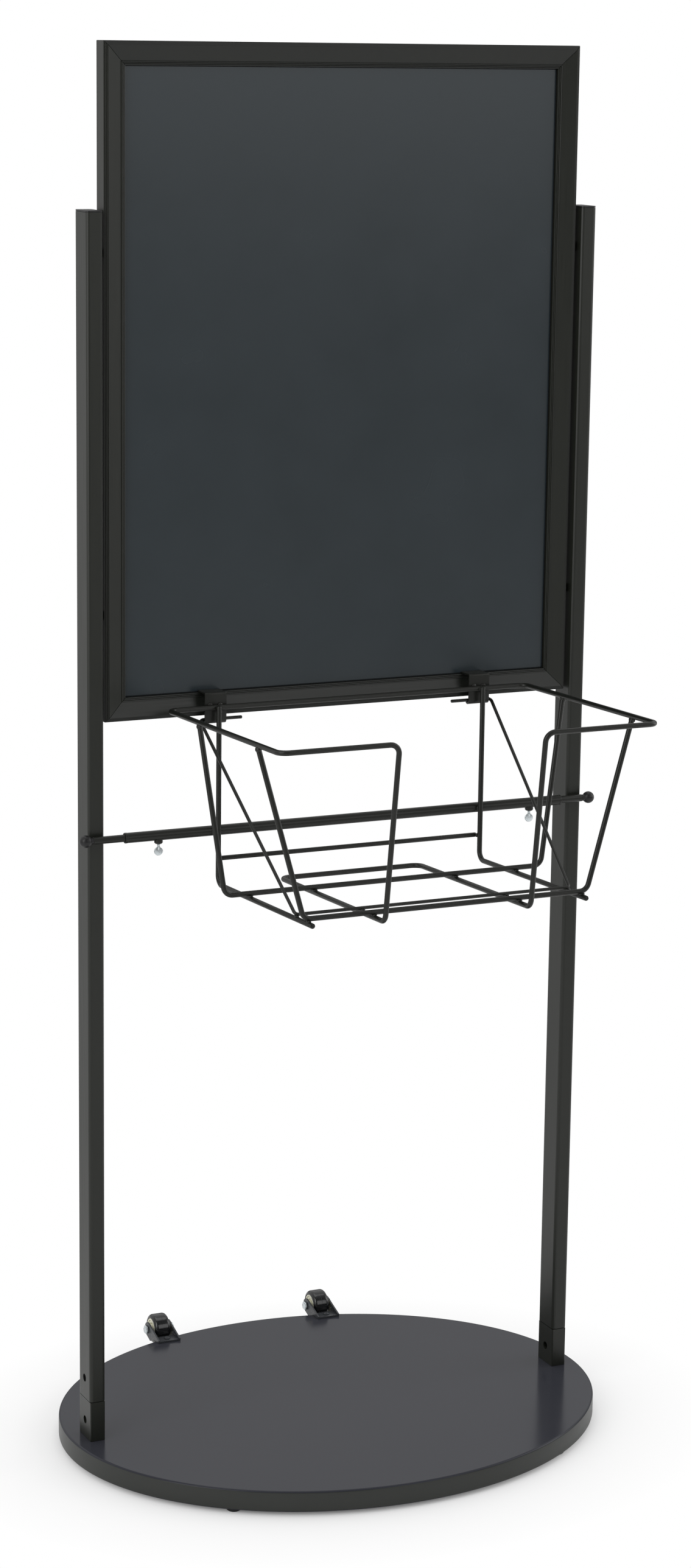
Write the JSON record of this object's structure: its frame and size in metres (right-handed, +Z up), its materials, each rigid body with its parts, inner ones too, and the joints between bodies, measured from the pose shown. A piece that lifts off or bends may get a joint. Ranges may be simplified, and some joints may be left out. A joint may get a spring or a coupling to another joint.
{
  "type": "floor sign stand",
  "caption": "Black floor sign stand: oval board base with tilt wheels, sleeve posts, a slot-in panel frame and a hanging wire literature basket with a telescopic stay bar.",
  "frame": {"origin": "on the floor, under the middle of the oval base board", "axes": "+Z up along the posts, +X to the right seen from the front, front and basket towards -Y, tilt wheels towards +Y"},
  "size_m": [0.664, 0.644, 1.633],
  "materials": {
    "grey_laminate": "satin dark grey laminate on fibreboard",
    "black_plastic": "moulded black",
    "black_anodised_aluminium": "satin black anodised",
    "black_powder_coat": "satin black powder coat on steel",
    "zinc_plated_steel": "bright zinc plate",
    "black_rubber": "smooth black",
    "cream_nylon": "natural cream",
    "slate_pvc_sheet": "smooth slate sheet",
    "black_foam_board": "plain black core"
  },
  "bodies": {
    "base": {"base_board": "grey_laminate", "glide_front_left": "black_plastic", "glide_front_right": "black_plastic", "glide_back_left": "black_plastic", "glide_back_right": "black_plastic", "stub_left": "black_anodised_aluminium", "stub_right": "black_anodised_aluminium", "base_bolt_left": "zinc_plated_steel", "base_bolt_right": "zinc_plated_steel", "wheel_fork_left": "black_powder_coat", "wheel_fork_right": "black_powder_coat", "fork_screw_left": "black_powder_coat", "fork_screw_right": "black_powder_coat", "axle_bolt_left": "zinc_plated_steel", "axle_bolt_right": "zinc_plated_steel", "axle_nut_left": "zinc_plated_steel", "axle_nut_right": "zinc_plated_steel"},
    "mast": {"post_left": "black_anodised_aluminium", "post_right": "black_anodised_aluminium", "post_cap_left": "black_plastic", "post_cap_right": "black_plastic", "lock_screw_left": "black_powder_coat", "lock_screw_right": "black_powder_coat", "rail_left": "black_anodised_aluminium", "rail_right": "black_anodised_aluminium", "rail_top": "black_anodised_aluminium", "rail_bottom": "black_anodised_aluminium", "corner_key_bottom_left": "black_plastic", "corner_key_bottom_right": "black_plastic", "corner_key_top_left": "black_plastic", "corner_key_top_right": "black_plastic", "frame_rivet_low_left": "black_powder_coat", "frame_rivet_low_right": "black_powder_coat", "frame_rivet_high_left": "black_powder_coat", "frame_rivet_high_right": "black_powder_coat", "hook_left": "black_powder_coat", "hook_right": "black_powder_coat", "rim_wire": "black_powder_coat", "rear_u_wire": "black_powder_coat", "front_u_wire": "black_powder_coat", "leg_wire_left": "black_powder_coat", "leg_wire_right": "black_powder_coat", "back_wire": "black_powder_coat", "brace_wire": "black_powder_coat", "bar_tube": "black_powder_coat", "bar_collar_left": "black_powder_coat", "bar_collar_right": "black_powder_coat"},
    "panel": {"front_face_sheet": "slate_pvc_sheet", "panel_core": "black_foam_board", "rear_face_sheet": "slate_pvc_sheet"},
    "wheel_left": {"wheel_tyre_left": "black_rubber", "wheel_hub_left": "cream_nylon"},
    "wheel_right": {"wheel_tyre_right": "black_rubber", "wheel_hub_right": "cream_nylon"},
    "rod_left": {"bar_rod_left": "black_powder_coat", "bar_ball_left": "black_plastic"},
    "rod_right": {"bar_rod_right": "black_powder_coat", "bar_ball_right": "black_plastic"},
    "thumb_left": {"thumb_screw_left": "zinc_plated_steel"},
    "thumb_right": {"thumb_screw_right": "zinc_plated_steel"}
  },
  "joints": [
    {"name": "mast_height", "type": "slide", "parent": "base", "child": "mast", "axis": [0, 0, 1], "range_m": [0, 0.1]},
    {"name": "panel_slide", "type": "slide", "parent": "mast", "child": "panel", "axis": [0, 0, 1], "range_m": [0, 0.7]},
    {"name": "wheel_spin_left", "type": "hinge", "parent": "base", "child": "wheel_left", "pos_m": [-0.11, 0.27951, 0.036], "axis": [1, 0, 0], "continuous": true},
    {"name": "wheel_spin_right", "type": "hinge", "parent": "base", "child": "wheel_right", "pos_m": [0.11, 0.27951, 0.036], "axis": [1, 0, 0], "continuous": true},
    {"name": "rod_reach_left", "type": "slide", "parent": "mast", "child": "rod_left", "axis": [-1, 0, 0], "range_m": [-0.035, 0.1]},
    {"name": "rod_reach_right", "type": "slide", "parent": "mast", "child": "rod_right", "axis": [1, 0, 0], "range_m": [-0.027, 0.1]},
    {"name": "thumb_turn_left", "type": "hinge", "parent": "mast", "child": "thumb_left", "pos_m": [-0.2327, -0.0262, 0.7527], "axis": [0, 0, 1], "range_deg": [-720, 0]},
    {"name": "thumb_turn_right", "type": "hinge", "parent": "mast", "child": "thumb_right", "pos_m": [0.2407, -0.0262, 0.7527], "axis": [0, 0, 1], "range_deg": [-720, 0]}
  ]
}
